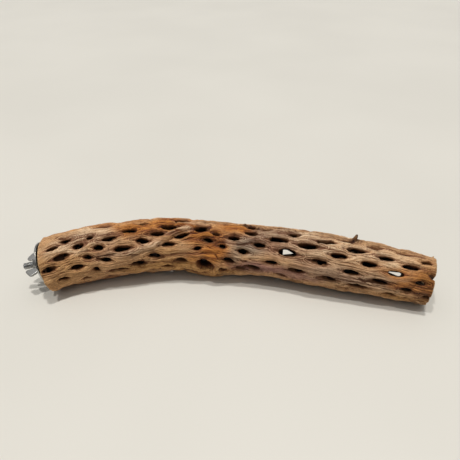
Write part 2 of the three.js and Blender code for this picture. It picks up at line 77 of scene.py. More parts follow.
def make_camera():
    data = bpy.data.cameras.new("camera")
    data.sensor_width = SENSOR
    data.lens = SENSOR * CAMERA_FOCAL_PIXELS / PHOTO_PIXELS
    data.clip_start = 0.01
    camera = bpy.data.objects.new("camera", data)
    camera.location = CAMERA_PLACE
    camera.rotation_euler = (math.radians(90 - CAMERA_TILT), 0, 0)
    bpy.context.scene.collection.objects.link(camera)
    bpy.context.scene.camera = camera


def add_object(name, mesh):
    piece = bpy.data.objects.new(name, mesh)
    bpy.context.scene.collection.objects.link(piece)
    return piece


def apply_modifiers(piece):
    graph = bpy.context.evaluated_depsgraph_get()
    mesh = bpy.data.meshes.new_from_object(piece.evaluated_get(graph))
    piece.modifiers.clear()
    old = piece.data
    piece.data = mesh
    bpy.data.meshes.remove(old)


def add_soft_remesh(piece, voxel, factor, passes):
    """An even mesh of small squares, with its steps smoothed away."""
    remesh = piece.modifiers.new("even", "REMESH")
    remesh.mode = "VOXEL"
    remesh.voxel_size = voxel
    soften = piece.modifiers.new("soften", "SMOOTH")
    soften.factor = factor
    soften.iterations = passes


def merged_copy(node):
    """The mesh of one of the frame's nodes, to work on, with the points that coincide made one."""
    work = bmesh.new()
    work.from_mesh(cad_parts[node].data)
    bmesh.ops.remove_doubles(work, verts=work.verts, dist=MERGE_DISTANCE)
    return work


def shade_smooth(mesh):
    for polygon in mesh.polygons:
        polygon.use_smooth = True


def set_material(piece, material):
    piece.data.materials.clear()
    piece.data.materials.append(material)


def get_points(mesh):
    points = np.zeros(len(mesh.vertices) * 3, np.float32)
    mesh.vertices.foreach_get("co", points)
    return points.reshape(-1, 3).astype(float)


def set_points(mesh, points):
    mesh.vertices.foreach_set("co", points.astype(np.float32).ravel())
    mesh.update()


def make_stem():
    """The stem line as a table by arc length: a smooth curve through the stations."""
    stations = np.vstack([STEM_STATIONS[:1], STEM_STATIONS, STEM_STATIONS[-1:]])
    t = (np.arange(STEPS_PER_SPAN) / STEPS_PER_SPAN)[:, None]
    rows = []
    for a, b, c, d in zip(stations, stations[1:], stations[2:], stations[3:]):
        rows.append(b + 0.5 * t * (c - a + t * (2 * a - 5 * b + 4 * c - d + t * (3 * (b - c) + d - a))))
    rows = np.vstack(rows)
    rows[:, :3] += STEM_SHIFT
    along = np.concatenate([[0], np.cumsum(np.linalg.norm(np.diff(rows[:, :3], axis=0), axis=1))])
    start = along[LEFT_STATION * STEPS_PER_SPAN]
    finish = along[RIGHT_STATION * STEPS_PER_SPAN]
    forward = np.gradient(rows[:, :3], axis=0)
    forward /= np.linalg.norm(forward, axis=1)[:, None]
    up = np.array([0, 0, 1.0]) - forward * forward[:, 2:]
    up /= np.linalg.norm(up, axis=1)[:, None]
    return {"middle": rows[:, :3], "radius": rows[:, 3], "along": along - start, "length": finish - start,
            "forward": forward, "up": up, "front": np.cross(forward, up)}


STEM = make_stem()


def wrapped(v):
    """A distance round the stem taken the short way, in mm."""
    return (v + GIRTH / 2) % GIRTH - GIRTH / 2


UNROLL_BATCH = 20000


def unroll(points):
    """Where points in metres lie on the stem: mm along, mm round and mm out from the middle, the stem's
    own radius there, and the way out."""
    points = points / MM
    near = np.zeros(len(points), int)
    for first in range(0, len(points), UNROLL_BATCH):
        part = points[first:first + UNROLL_BATCH, None, :2]
        squares = ((part - STEM["middle"][None, :, :2]) ** 2).sum(2)
        near[first:first + UNROLL_BATCH] = np.argmin(squares, axis=1)
    offset = points - STEM["middle"][near]
    ahead = (offset * STEM["forward"][near]).sum(1)
    front = (offset * STEM["front"][near]).sum(1)
    up = (offset * STEM["up"][near]).sum(1)
    out = np.hypot(front, up)
    way = STEM["front"][near] * front[:, None] + STEM["up"][near] * up[:, None]
    way /= np.maximum(out, 1e-6)[:, None]
    u = STEM["along"][near] + ahead
    v = np.arctan2(up, front) * MEAN_RADIUS
    return u, v, out, STEM["radius"][near], way


def hashed(*cells, seed=0):
    """A fixed number from 0 to 1 for each lattice cell and seed."""
    h = np.full(cells[0].shape, 374761393 + 974634777 * seed, np.uint64)
    for cell, prime in zip(cells, (2654435761, 2246822519, 3266489917)):
        h = (h ^ (cell.astype(np.int64).astype(np.uint64) * np.uint64(prime))) * np.uint64(668265263)
        h ^= h >> np.uint64(15)
    return ((h >> np.uint64(8)) & np.uint64(0xFFFF)).astype(float) / 65535


def noise(*axes, seed=0, periods=None):
    """Smooth noise from 0 to 1 over one to three axes. An axis repeats after its period, in whole cells."""
    periods = periods or [None] * len(axes)
    lows = [np.floor(axis) for axis in axes]
    parts = [axis - low for axis, low in zip(axes, lows)]
    parts = [part * part * (3 - 2 * part) for part in parts]
    total = 0
    for corner in range(2 ** len(axes)):
        weight = 1
        cells = []
        for k, (low, part, period) in enumerate(zip(lows, parts, periods)):
            step = corner >> k & 1
            weight = weight * (part if step else 1 - part)
            cell = low + step
            cells.append(cell % period if period else cell)
        total = total + weight * hashed(*cells, seed=seed)
    return total


def cloud(points, size, seed, octaves=3):
    """Noise in space, of about a size in mm, from -1 to 1."""
    total = 0
    weight = 1
    sum_of_weights = 0
    for octave in range(octaves):
        scaled = points / MM / size * 2 ** octave
        total = total + weight * noise(*scaled.T, seed=seed + octave)
        sum_of_weights += weight
        weight *= 0.5
    return 2 * total / sum_of_weights - 1


def fibres(flow, u, lines, reach, seed):
    """Noise from -1 to 1, drawn out along the grain: lines round the girth, each about a reach in mm long."""
    return 2 * noise(flow / GIRTH * lines, u / reach, seed=seed, periods=[lines, None]) - 1


def smooth(t):
    """A soft step from 0 to 1."""
    t = np.clip(t, 0, 1)
    return t * t * (3 - 2 * t)


END_PLANES = (
    (np.array(SEAT) / MM, np.array(STUD_AXIS)),
    (STEM["middle"][RIGHT_STATION * STEPS_PER_SPAN], STEM["forward"][RIGHT_STATION * STEPS_PER_SPAN]),
)


def past_end(points):
    """How far points in metres stand past the nearer sawn end, in mm: negative inside."""
    return np.max([(points / MM - place) @ way for place, way in END_PLANES], axis=0)


# Which of the branch's faces are walls of holes, in mm where they are distances.
WALL_STEEPNESS = 0.6
END_MARGIN = 0.05
SKIN = 1.0
GROUND_MARGIN = 0.2
LEAST_RIM_POINTS = 5


def wall_groups(work, wall):
    """The wall faces in connected groups."""
    seen = set()
    for first in np.nonzero(wall)[0]:
        if first in seen:
            continue
        seen.add(first)
        group = []
        queue = [first]
        while queue:
            face = work.faces[queue.pop()]
            group.append(face)
            for edge in face.edges:
                for other in edge.link_faces:
                    if wall[other.index] and other.index not in seen:
                        seen.add(other.index)
                        queue.append(other.index)
        yield group


def measured_hole(group):
    """A hole's middle along and round, its length and width in mm, and which way its length runs."""
    places = {vert.index: vert.co for face in group for vert in face.verts}
    rim = np.array([places[index] for index in sorted(places)])
    u, v, out, radius, _ = unroll(rim)
    outer = radius - out < WALL / 2
    if outer.sum() < LEAST_RIM_POINTS:
        return None
    u = u[outer]
    v = v[outer]
    v = v[0] + wrapped(v - v[0])
    middle = np.array([(u.min() + u.max()) / 2, (v.min() + v.max()) / 2])
    spread = np.stack([u, v], 1) - middle
    _, vectors = np.linalg.eigh(spread.T @ spread)
    long = vectors[:, 1] * np.sign(vectors[0, 1])
    length = np.ptp(spread @ long)
    width = np.ptp(spread @ np.array([-long[1], long[0]]))
    return middle[0], wrapped(middle[1]), length, width, long[0], long[1]


def find_holes():
    """The holes of the net, read from the walls that the frame's branch has through it."""
    work = merged_copy("cholla_wood")
    work.faces.ensure_lookup_table()
    work.verts.index_update()
    middles = np.array([face.calc_center_median() for face in work.faces])
    normals = np.array([face.normal for face in work.faces])
    _, _, out, radius, way = unroll(middles)
    steep = np.abs((normals * way).sum(1)) < WALL_STEEPNESS
    clear = (past_end(middles) < -END_MARGIN) & (middles[:, 2] > GROUND_MARGIN * MM)
    wall = steep & clear & (radius - out > SKIN)
    holes = [measured_hole(group) for group in wall_groups(work, wall)]
    work.free()
    return np.array([hole for hole in holes if hole])


HOLES = find_holes()

# A hole's eye is longer than the hole. Growth rings lie round it. All but the stretch are in mm.
EYE_STRETCH = 1.6
EYE_MARGIN = 0.5
RING_PITCH = 1.9
HOLE_REACH = 34
FAR_AWAY = 99.0


def read_net(u, v):
    """The net at each point. nearest is the distance in mm to a hole's edge. flow is the grain's own
    coordinate, which parts round the holes. eye is how deep the point lies in a hole's eye, from 0 at the
    eye's edge to 1 on its line. around is how far outside an eye it is, in mm."""
    nearest = np.full(len(u), FAR_AWAY)
    around = np.full(len(u), FAR_AWAY)
    eye = np.zeros(len(u))
    flow = v.copy()
    for hu, hv, length, width, cos, sin in HOLES:
        du = u - hu
        some = np.nonzero(np.abs(du) < HOLE_REACH)[0]
        dv = wrapped(v[some] - hv)
        x = du[some] * cos + dv * sin
        y = dv * cos - du[some] * sin
        size = np.sqrt((x / (length / 2)) ** 2 + (y / (width / 2)) ** 2) + 1e-6
        nearest[some] = np.minimum(nearest[some], np.hypot(x, y) * (1 - 1 / size))
        a = width / 2 + EYE_MARGIN
        reach = EYE_STRETCH * length / 2
        half_width = a * np.clip(1 - (x / reach) ** 2, 0, 1)
        eye[some] = np.maximum(eye[some], np.clip(1 - np.abs(y) / np.maximum(half_width, 1e-3), 0, 1))
        outside = np.hypot(np.maximum(np.abs(x) - reach, 0), np.maximum(np.abs(y) - half_width, 0))
        around[some] = np.minimum(around[some], outside)
        stretched = np.hypot(x * a / reach, y)
        flow[some] -= y * (a / np.maximum(stretched, a)) ** 2 * np.exp(-(stretched / (5 * a)) ** 2)
    return {"nearest": nearest, "flow": flow, "eye": eye, "around": around}


# Features of the surface, in mm along and degrees round from the front. The knot hole has its reach in mm.
KNOT = (151, -8, 8.0)
ROPE_STRAND = [(66, 20), (84, 31), (97, 37), (110, 50), (121, 66), (134, 81)]
CRACKS = [
    [(160, 22), (162, 16), (163.5, 10)], [(118, 50), (127, 57), (136, 63)],
    [(108, 52), (118, 60), (128, 70)], [(136, 60), (142, 66), (148, 70)], [(52, -16), (65, -15), (76, -13)],
    [(126, 44), (134, 50), (141, 54)], [(178, 44), (186, 48), (193, 51)], [(170, 58), (176, 63), (182, 66)],
]

# Holes at the front and back that daylight shows through: mm along, degrees round, reach in mm.
WINDOWS = [(228, 40, 11), (226.5, 218, 12), (321, 38, 9), (325, 216, 11), (337, 248, 10)]
WINDOW_FADE = 2
WINDOW_WIDENING = 0.9


def window_weight(u, v):
    """One round the windows, which are kept clear of lumps, and zero elsewhere."""
    weight = np.zeros(len(u))
    for along, round_, reach in WINDOWS:
        away = np.hypot(u - along, wrapped(v - round_ * MM_PER_DEGREE))
        weight = np.maximum(weight, smooth((reach - away) / WINDOW_FADE))
    return weight


def line_distance(line, u, v):
    """How far each point is from a line on the surface, in mm, and how far along it, from 0 to 1."""
    least = np.full(len(u), FAR_AWAY)
    part = np.zeros(len(u))
    for k, (a, b) in enumerate(zip(line, line[1:])):
        du = b[0] - a[0]
        dv = (b[1] - a[1]) * MM_PER_DEGREE
        pu = u - a[0]
        pv = wrapped(v - a[1] * MM_PER_DEGREE)
        t = np.clip((pu * du + pv * dv) / (du * du + dv * dv), 0, 1)
        away = np.hypot(pu - t * du, pv - t * dv)
        part = np.where(away < least, (k + t) / (len(line) - 1), part)
        least = np.minimum(least, away)
    return least, part


# The grain: for each kind, how many lines go round the stem and how long one is, in mm.
BUNDLE_GRAIN = (56, 30)
THREAD_GRAIN = (104, 20)
SPLIT_GRAIN = (44, 34)
SPLIT_WIDTH = 0.12

# How high or deep each kind of relief is, in mm, and the reach in mm over which the rings die out.
BUNDLE_HEIGHT = 0.62
FINE_FIBRE_HEIGHT = 0.3
SPLIT_DEPTH = 0.9
RING_HEIGHT = 0.4
RING_FADE = 4.0
LUMP_HEIGHT = 0.95
EYE_DEPTH = 1.1
STRAND_HEIGHT = 1.3
STRAND_HALF_WIDTH = 2.3
GROOVE_DEPTH = 1.0
GROOVE_AWAY = 4.0
GROOVE_HALF_WIDTH = 1.1
CRACK_DEPTH = 1.5
CRACK_HALF_WIDTH = 0.75


def bell(distance, half_width):
    return np.exp(-(distance / half_width) ** 2)


def surface_relief(points, u, v, net):
    """How far the outer face stands off the net, in mm, and how deep each point lies between fibres, which
    the wood's colour turns into painted shade.
    """
    flow = net["flow"]
    eye = net["eye"]
    around = net["around"]
    bundles = fibres(flow, u, *BUNDLE_GRAIN, seed=1)
    threads = fibres(flow, u, *THREAD_GRAIN, seed=2)
    splits = smooth(1 - np.abs(fibres(flow, u, *SPLIT_GRAIN, seed=3)) / SPLIT_WIDTH)
    splits *= smooth((cloud(points, 17, seed=8) + 0.25) / 0.4)
    rings = np.cos(2 * math.pi * (around + 0.5 * cloud(points, 9, seed=12)) / RING_PITCH)
    rings *= np.exp(-around / RING_FADE) * smooth(around / 0.6)
    rings *= smooth((cloud(points, 15, seed=13) + 0.7) / 0.5)
    relief = BUNDLE_HEIGHT * bundles + FINE_FIBRE_HEIGHT * threads - SPLIT_DEPTH * splits
    relief += RING_HEIGHT * rings + LUMP_HEIGHT * cloud(points, 14, seed=5)
    relief -= EYE_DEPTH * smooth(eye) * smooth(net["nearest"] / 0.8)

    away, part = line_distance(ROPE_STRAND, u, v)
    strand = STRAND_HEIGHT * bell(away, STRAND_HALF_WIDTH)
    groove = GROOVE_DEPTH * bell(away - GROOVE_AWAY, GROOVE_HALF_WIDTH)
    relief += smooth(part / 0.12) * smooth((1.02 - part) / 0.06) * (strand - groove)

    cracked = np.zeros(len(u))
    for crack in CRACKS:
        away, part = line_distance(crack, u, v)
        opening = np.sin(np.pi * np.clip(part, 0.04, 0.96))
        cracked = np.maximum(cracked, bell(away, CRACK_HALF_WIDTH) * opening)
    relief -= CRACK_DEPTH * cracked

    # Painted shade: darker in the valleys between fibres and rings, in splits, cracks and the eyes round the
    # holes.
    crease_shade = 0.46 - 0.34 * bundles - 0.32 * threads - 0.36 * rings
    crease_shade += 0.7 * splits + cracked + 0.5 * smooth(eye)
    return relief, np.clip(crease_shade, 0, 1.5)


FINE_VOXEL = 0.55 * MM
TRIANGLE_AIM = 190000
INNER_LUMP_HEIGHT = 0.5



# Low burrs on the top, as mm along, degrees round and radius in mm, and how far in their middles lie.
BURRS = [(180.5, 106, 2.3), (185, 108, 2.9), (189.5, 106, 2.2), (193, 104, 1.5)]
BURR_SINK = 0.6

# The twig's second prong, in mm and degrees. Its lean is how far it goes forward as it goes out.
PRONG = {"along": 284.5, "round": 99, "lean": 0.9, "length": 7.5, "base": 1.5, "tip": 0.4, "sink": 0.5}


def stem_place(along, round_, sunk):
    """A place on the stem, in metres, sunk by some mm, with the way out and the way forward there."""
    row = int(np.argmin(np.abs(STEM["along"] - along)))
    angle = math.radians(round_)
    way = STEM["front"][row] * math.cos(angle) + STEM["up"][row] * math.sin(angle)
    place = STEM["middle"][row] + way * (STEM["radius"][row] - sunk)
    return Vector(place * MM), Vector(way), Vector(STEM["forward"][row])


def add_burrs(work):
    for along, round_, radius in BURRS:
        place, _, _ = stem_place(along, round_, BURR_SINK)
        shape = Matrix.Translation(place) @ Matrix.Scale(radius * MM, 4)
        bmesh.ops.create_icosphere(work, subdivisions=2, radius=1, matrix=shape)


def add_prong(work):
    place, way, ahead = stem_place(PRONG["along"], PRONG["round"], PRONG["sink"])
    lean = (way + ahead * PRONG["lean"]).normalized()
    turn = Vector((0, 0, 1)).rotation_difference(lean).to_matrix().to_4x4()
    shape = Matrix.Translation(place) @ turn @ Matrix.Scale(MM, 4)
    bmesh.ops.create_cone(work, cap_ends=True, segments=8, radius1=PRONG["base"], radius2=PRONG["tip"],
                          depth=PRONG["length"], matrix=shape)


def smoothed_net():
    """The frame's branch with its facets rounded off and its surface as an even fine mesh."""
    work = merged_copy("cholla_wood")
    crease = work.edges.layers.float.new("crease_edge")
    for edge in work.edges:
        ends = np.array([vert.co for vert in edge.verts])
        if (np.abs(past_end(ends)) < END_MARGIN).all():
            edge[crease] = 1.0
    add_burrs(work)
    add_prong(work)
    mesh = bpy.data.meshes.new("cholla_wood_fine")
    work.to_mesh(mesh)
    work.free()
    piece = add_object("cholla_wood_fine", mesh)
    rounding = piece.modifiers.new("rounding", "SUBSURF")
    rounding.levels = 1
    rounding.render_levels = 1
    add_soft_remesh(piece, FINE_VOXEL, 0.5, 3)
    apply_modifiers(piece)
    return piece


def vertex_normals(mesh):
    normals = np.zeros(len(mesh.vertices) * 3, np.float32)
    mesh.vertices.foreach_get("normal", normals)
    return normals.reshape(-1, 3).astype(float)


def thin_out(piece, depth_inside):
    """Fewer triangles, most of them taken from the inner wall, by each point's depth inside in mm."""
    triangles = sum(len(polygon.vertices) - 2 for polygon in piece.data.polygons)
    if triangles <= TRIANGLE_AIM:
        return
    thin = piece.modifiers.new("thin", "DECIMATE")
    thin.ratio = TRIANGLE_AIM / triangles
    group = piece.vertex_groups.new(name="inside")
    thin.vertex_group = group.name
    deep = np.clip((depth_inside - 3) / 3, 0, 1)
    for level in (0.25, 0.5, 0.75, 1.0):
        some = np.nonzero((deep > level - 0.25) & (deep <= level))[0]
        group.add(some.tolist(), level, "REPLACE")
    apply_modifiers(piece)
    piece.vertex_groups.clear()


def carve(piece):
    """Carves the grain into the outer face and low lumps into the inner one, inside the frame's box."""
    mesh = piece.data
    points = get_points(mesh)
    u, v, out, radius, way = unroll(points)
    normals = vertex_normals(mesh)
    outward = smooth(((normals * way).sum(1) - 0.1) / 0.5)
    sawn = smooth((past_end(points) + 1.2) / 0.8)
    window = window_weight(u, v)
    outer, _ = surface_relief(points, u, v, read_net(u, v))
    outer = np.where(outer > 0, outer * (1 - window), outer)
    inner = INNER_LUMP_HEIGHT * cloud(points, 7, seed=21) * (1 - window) - WINDOW_WIDENING * window
    amount = (outer * outward + inner * (1 - outward)) * (1 - sawn)
    points += normals * amount[:, None] * MM
    low, high = (np.array(corner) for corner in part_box("cholla_wood"))
    set_points(mesh, np.clip(points, low, high))
    thin_out(piece, radius - out)
    shade_smooth(piece.data)
    print("cholla_wood_fine", len(piece.data.polygons), "faces")


# Soft-edged patches of colour: mm along, degrees round, reach along, reach round, strength.
PATCHES = {
    "rust": [
        (84, 80, 30, 22, 1.0), (62, 92, 22, 14, 0.9), (120, 88, 34, 26, 1.0), (146, 66, 26, 30, 1.0),
        (160, 30, 16, 34, 1.0), (104, 66, 14, 10, 0.8), (146, 8, 14, 16, 0.7), (174, 92, 20, 22, 1.0),
        (130, 60, 14, 9, 0.8), (348, 28, 22, 34, 1.0), (332, 12, 18, 14, 0.9), (322, 38, 14, 14, 0.8),
        (60, 120, 44, 24, 0.6),
    ],
    "gold": [
        (10, 20, 34, 60, 0.5), (120, -16, 40, 24, 1.0), (152, -36, 28, 24, 1.0), (84, -20, 24, 16, 0.8),
        (172, -20, 11, 14, 1.0), (330, -22, 26, 14, 0.8), (110, 16, 24, 14, 0.6), (350, 60, 20, 26, 0.3),
        (132, 88, 12, 10, 0.5),
    ],
    "grey": [
        (190, 44, 16, 22, 0.95), (176, 24, 10, 22, 0.8), (206, 76, 22, 20, 0.6), (230, 88, 26, 20, 0.6),
        (70, 28, 24, 14, 0.35), (250, 46, 40, 30, 0.35), (290, 14, 54, 24, 0.5),
    ],
    "mauve": [
        (206, -4, 28, 16, 1.0), (188, -8, 14, 12, 0.9), (232, -12, 30, 14, 0.8), (216, 60, 40, 30, 0.4),
        (58, 34, 18, 14, 0.25), (268, 8, 34, 20, 0.4), (96, 44, 16, 10, 0.3),
    ],
    "cream": [
        (38, 78, 26, 22, 1.0), (22, 64, 24, 20, 1.0), (52, 56, 14, 9, 0.7), (118, 62, 14, 6, 0.6),
        (100, 40, 18, 6, 0.7), (128, 76, 10, 6, 0.9), (174, 50, 5, 8, 1.0), (256, 74, 44, 24, 0.7),
        (296, 74, 38, 24, 0.75), (136, 98, 16, 8, 0.6), (84, 30, 16, 5, 0.6),
    ],
    "bark": [
        (282.5, 105, 6, 12, 1.0), (185, 107, 9, 7, 1.0), (352, 20, 16, 50, 0.5),
        (150, 103, 12, 5, 0.6), (270, 108, 60, 6, 0.5),
    ],
}

# How far the patches' edges wander, in mm along and degrees round. Patches shorter than this wander less.
WANDER_ALONG = 9
WANDER_ROUND = 14
FULL_WANDER_REACH = 22

# The side that shows is centred this many degrees round, and the hidden side's tints are weaker.
SHOWN_MIDDLE = 35
HIDDEN_STRENGTH = 0.6


def patch_weight(spots, points, u, v, seed):
    """How strongly a patch's tint covers each point, with edges that wander."""
    shift_u = WANDER_ALONG * cloud(points, 16, seed=seed)
    shift_v = WANDER_ROUND * cloud(points, 14, seed=seed + 40)
    total = np.zeros(len(u))
    for along, round_, reach_u, reach_v, strength in spots:
        wander = min(1.0, reach_u / FULL_WANDER_REACH)
        du = (u + wander * shift_u - along) / reach_u
        dv = wrapped(v + (wander * shift_v - round_) * MM_PER_DEGREE) / (reach_v * MM_PER_DEGREE)
        total = np.maximum(total, strength * smooth(1.35 - np.hypot(du, dv) * 0.9))
    return total


def back_weight(points, v, seed):
    """Where the hidden side takes a tint, in large soft clouds."""
    away = np.abs(wrapped(v - SHOWN_MIDDLE * MM_PER_DEGREE)) / MM_PER_DEGREE
    hidden = smooth((away - 70) / 30)
    return hidden * smooth((cloud(points, 55, seed=seed) - 0.05) / 0.35)


def add_attribute(mesh, name, values):
    layer = mesh.attributes.new(name, "FLOAT", "POINT")
    layer.data.foreach_set("value", values.astype(np.float32))


def paint_fields(piece):
    """What the wood's material reads at each point."""
    mesh = piece.data
    points = get_points(mesh)
    u, v, out, radius, _ = unroll(points)
    net = read_net(u, v)
    _, crease_shade = surface_relief(points, u, v, net)
    add_attribute(mesh, "grain_round", net["flow"])
    add_attribute(mesh, "grain_along", u)
    # The crease mask, for painted shade in the wood's valleys.
    add_attribute(mesh, "crease_shade", crease_shade)
    # How deep a point lies in the wall. The material turns this into painted shade down the holes and the
    # hollow.
    add_attribute(mesh, "depth", np.clip((radius + 0.4 - out) / WALL, 0, 1.2))
    knot = np.hypot((u - KNOT[0]) / KNOT[2], wrapped(v - KNOT[1] * MM_PER_DEGREE) / KNOT[2])
    add_attribute(mesh, "knot", smooth((1.25 - knot) / 0.2))
    add_attribute(mesh, "edge", np.clip(net["nearest"], -2, 8))
    add_attribute(mesh, "sawn", smooth((past_end(points) + 0.9) / 0.7))
    for k, (name, spots) in enumerate(PATCHES.items()):
        shown = patch_weight(spots, points, u, v, 60 + 3 * k)
        hidden = back_weight(points, v, 90 + 5 * k)
        add_attribute(mesh, name, np.maximum(shown, HIDDEN_STRENGTH * hidden))


class Shader:
    """A node material that is written as nested calls."""

    def __init__(self, name):
        self.material = bpy.data.materials.new(name)
        self.material.use_nodes = True
        self.nodes = self.material.node_tree.nodes
        self.links = self.material.node_tree.links
        self.shader = self.nodes["Principled BSDF"]

    def put(self, socket, value):
        if isinstance(value, bpy.types.NodeSocket):
            self.links.new(value, socket)
        elif value is not None:
            socket.default_value = value

    def node(self, kind, inputs=(), output=0, **settings):
        node = self.nodes.new(kind)
        for key, value in settings.items():
            setattr(node, key, value)
        for key, value in dict(inputs).items():
            self.put(node.inputs[key], value)
        return node.outputs[output]

    def value(self, name):
        return self.node("ShaderNodeAttribute", output="Fac", attribute_name=name)

    def math(self, operation, a, b=None):
        return self.node("ShaderNodeMath", {0: a, 1: b}, operation=operation)

    def ranged(self, value, low, high, to_low=0.0, to_high=1.0):
        """A soft step as the value goes from low to high."""
        inputs = {"Value": value, "From Min": low, "From Max": high, "To Min": to_low, "To Max": to_high}
        return self.node("ShaderNodeMapRange", inputs, interpolation_type="SMOOTHSTEP")

    def mix(self, factor, a, b, blend="MIX"):
        node = self.nodes.new("ShaderNodeMix")
        node.data_type = "RGBA"
        node.blend_type = blend
        for socket, value in zip((node.inputs[0], node.inputs[6], node.inputs[7]), (factor, a, b)):
            self.put(socket, value)
        return node.outputs[2]

    def darken(self, factor, colour, tone):
        """The colour multiplied by a darker tone, by a factor."""
        return self.mix(factor, colour, self.mix(1.0, colour, tone, "MULTIPLY"))

    def vector(self, x, y, z=0.0):
        return self.node("ShaderNodeCombineXYZ", {"X": x, "Y": y, "Z": z})

    def noise(self, vector, scale, detail=3.0, rough=0.55):
        inputs = {"Vector": vector, "Scale": scale, "Detail": detail, "Roughness": rough}
        return self.node("ShaderNodeTexNoise", inputs, output="Fac")

    def bump(self, height, strength, distance):
        inputs = {"Height": height, "Strength": strength, "Distance": distance}
        return self.node("ShaderNodeBump", inputs, output="Normal")

    def finish(self, **values):
        for key, value in values.items():
            self.put(self.shader.inputs[key.replace("_", " ")], value)
        return self.material


def rgb(hex_value):
    """A colour written as it looks on a screen, for a shader."""
    channels = [(hex_value >> shift & 255) / 255 for shift in (16, 8, 0)]
    return tuple(c / 12.92 if c < 0.04045 else ((c + 0.055) / 1.055) ** 2.4 for c in channels) + (1.0,)


# The wood's colours as they look on a screen. The first of a pair is for dark grain, the second for light.
BARE_WOOD = (0xB07E50, 0xE4B888)
BLOTCH = 0xCB9B6C
TINTS = {
    "gold": (0xA8733A, 0xDAA868), "mauve": (0x885A52, 0xBE9082), "grey": (0x86735F, 0xC2AE96),
    "rust": (0x8A430C, 0xD48A34), "cream": (0xD8AC82, 0xF8DEBA), "bark": (0x3E2612, 0x7C5632),
}
TINT_STRENGTH = 0.9
# The holes' walls: the inner wood's darker brown with painted shade over it, and near-black painted shade
# where they lie deepest.
LINING_WITH_SHADE = (0x54341A, 0x7A5230)
KNOT_LINING_WITH_SHADE = (0x30140A, 0x7C3E18)
DEEPEST_PAINTED_SHADE = 0x1A0D06
KNOT_DEEPEST_PAINTED_SHADE = 0x40200F
SAWN_WOOD = (0xA88054, 0xD6B484)

# Tones that darken the wood in fine streaks, in valleys as painted shade, along split lines and on the holes'
# rims.
STREAK_TONE = 0x86552F
VALLEY_SHADE_TONE = 0x7A4722
SPLIT_TONE = 0x6E3F1E
RIM_TONE = 0x8A5A34


def wood_material():
    s = Shader("cholla_wood")

    def grained(factor, pair):
        return s.mix(factor, rgb(pair[0]), rgb(pair[1]))

    place = s.node("ShaderNodeNewGeometry", output="Position")
    flow = s.value("grain_round")
    along = s.value("grain_along")
    knot = s.value("knot")
    depth = s.value("depth")
    lines = s.vector(s.math("MULTIPLY", flow, 0.9), s.math("MULTIPLY", along, 0.06))
    hairs = s.vector(s.math("MULTIPLY", flow, 2.2), s.math("MULTIPLY", along, 0.14), 4.0)
    coarse = s.noise(lines, 0.8, 3.0, 0.6)
    fine = s.noise(hairs, 1.0, 3.0, 0.62)
    blotch = s.noise(place, 60.0, 4.0, 0.6)
    band = s.ranged(coarse, 0.32, 0.68)

    # The outer face: bare wood, then the tinted patches.
    colour = grained(band, BARE_WOOD)
    colour = s.mix(s.ranged(blotch, 0.35, 0.7, 0.0, 0.5), colour, rgb(BLOTCH))
    for name, pair in TINTS.items():
        colour = s.mix(s.math("MULTIPLY", s.value(name), TINT_STRENGTH), colour, grained(band, pair))

    # Dark lines, and painted shade in the hollows, over both.
    streak = s.math("MULTIPLY", s.ranged(fine, 0.54, 0.7), 0.55)
    colour = s.darken(streak, colour, rgb(STREAK_TONE))
    # Painted shade in the valleys, splits, cracks and eyes.
    valley_shade = s.ranged(s.value("crease_shade"), 0.48, 1.05, 0.0, 0.85)
    colour = s.darken(valley_shade, colour, rgb(VALLEY_SHADE_TONE))
    split = s.math("ABSOLUTE", s.math("SUBTRACT", s.noise(lines, 1.7, 2.0, 0.5), 0.5))
    split = s.ranged(split, 0.0, 0.03, 0.7, 0.0)
    colour = s.darken(split, colour, rgb(SPLIT_TONE))
    rim = s.ranged(s.value("edge"), -0.4, 1.3, 0.7, 0.0)
    colour = s.darken(rim, colour, rgb(RIM_TONE))

    # The walls of the holes and the hollow, painted darker the deeper they lie: painted shade over the inner
    # wood's darker brown, near black deepest in. Then the sawn ends.
    shaded_lining = s.mix(knot, grained(band, LINING_WITH_SHADE), grained(s.ranged(blotch, 0.4, 0.62), KNOT_LINING_WITH_SHADE))
    colour = s.mix(s.ranged(depth, 0.14, 0.46), colour, shaded_lining)
    colour = s.mix(s.ranged(depth, 0.45, 1.0), colour, grained(knot, (DEEPEST_PAINTED_SHADE, KNOT_DEEPEST_PAINTED_SHADE)))
    cut = grained(s.ranged(s.noise(place, 900.0, 2.0), 0.35, 0.65), SAWN_WOOD)
    colour = s.mix(s.value("sawn"), colour, cut)

    relief = s.math("ADD", s.math("MULTIPLY", coarse, 0.6), s.math("MULTIPLY", fine, 0.4))
    relief = s.math("SUBTRACT", relief, s.math("MULTIPLY", split, 0.3))
    normal = s.bump(relief, 0.8, 0.0008)
    rough = s.ranged(coarse, 0.2, 0.8, 0.6, 0.85)
    return s.finish(Base_Color=colour, Roughness=rough, Normal=normal, Specular_IOR_Level=0.35)


def make_wood():
    piece = smoothed_net()
    carve(piece)
    paint_fields(piece)
    set_material(piece, wood_material())
    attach(piece, "root")
    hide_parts("cholla_wood")


# Hardware on the stud's axis, in mm: z is along the axis, out from the sawn end.
STUD_RADIUS = 3.0
STUD_OUT = 22.5
STUD_IN = 22.0
STUD_SIDES = 36
STUD_CHAMFER = 0.7
STUD_TRIM = 0.05
STUD_POINT_SINK = 1
STUD_CORE = 0.85 * STUD_RADIUS
STUD_POINT_RADIUS = 0.8
STUD_POINT_LENGTH = 4
THREAD_START = -1.0
THREAD_PITCH = 1.0
THREAD_ROWS = 8
THREAD_DEPTH = 0.25
WASHER_THICKNESS = 1.6
INNER_WASHER_RADIUS = 17.5
OUTER_WASHER_RADIUS = 19.0
WASHER_BEVEL = 0.28
WASHER_SIDES = 96
WIRE_GAP = 1.2
HOLE_RADIUS = 3.3
RUNNING_GAP = 0.3
NUT_VOXEL = 0.32 * MM
SHARP_EDGE = math.radians(35)


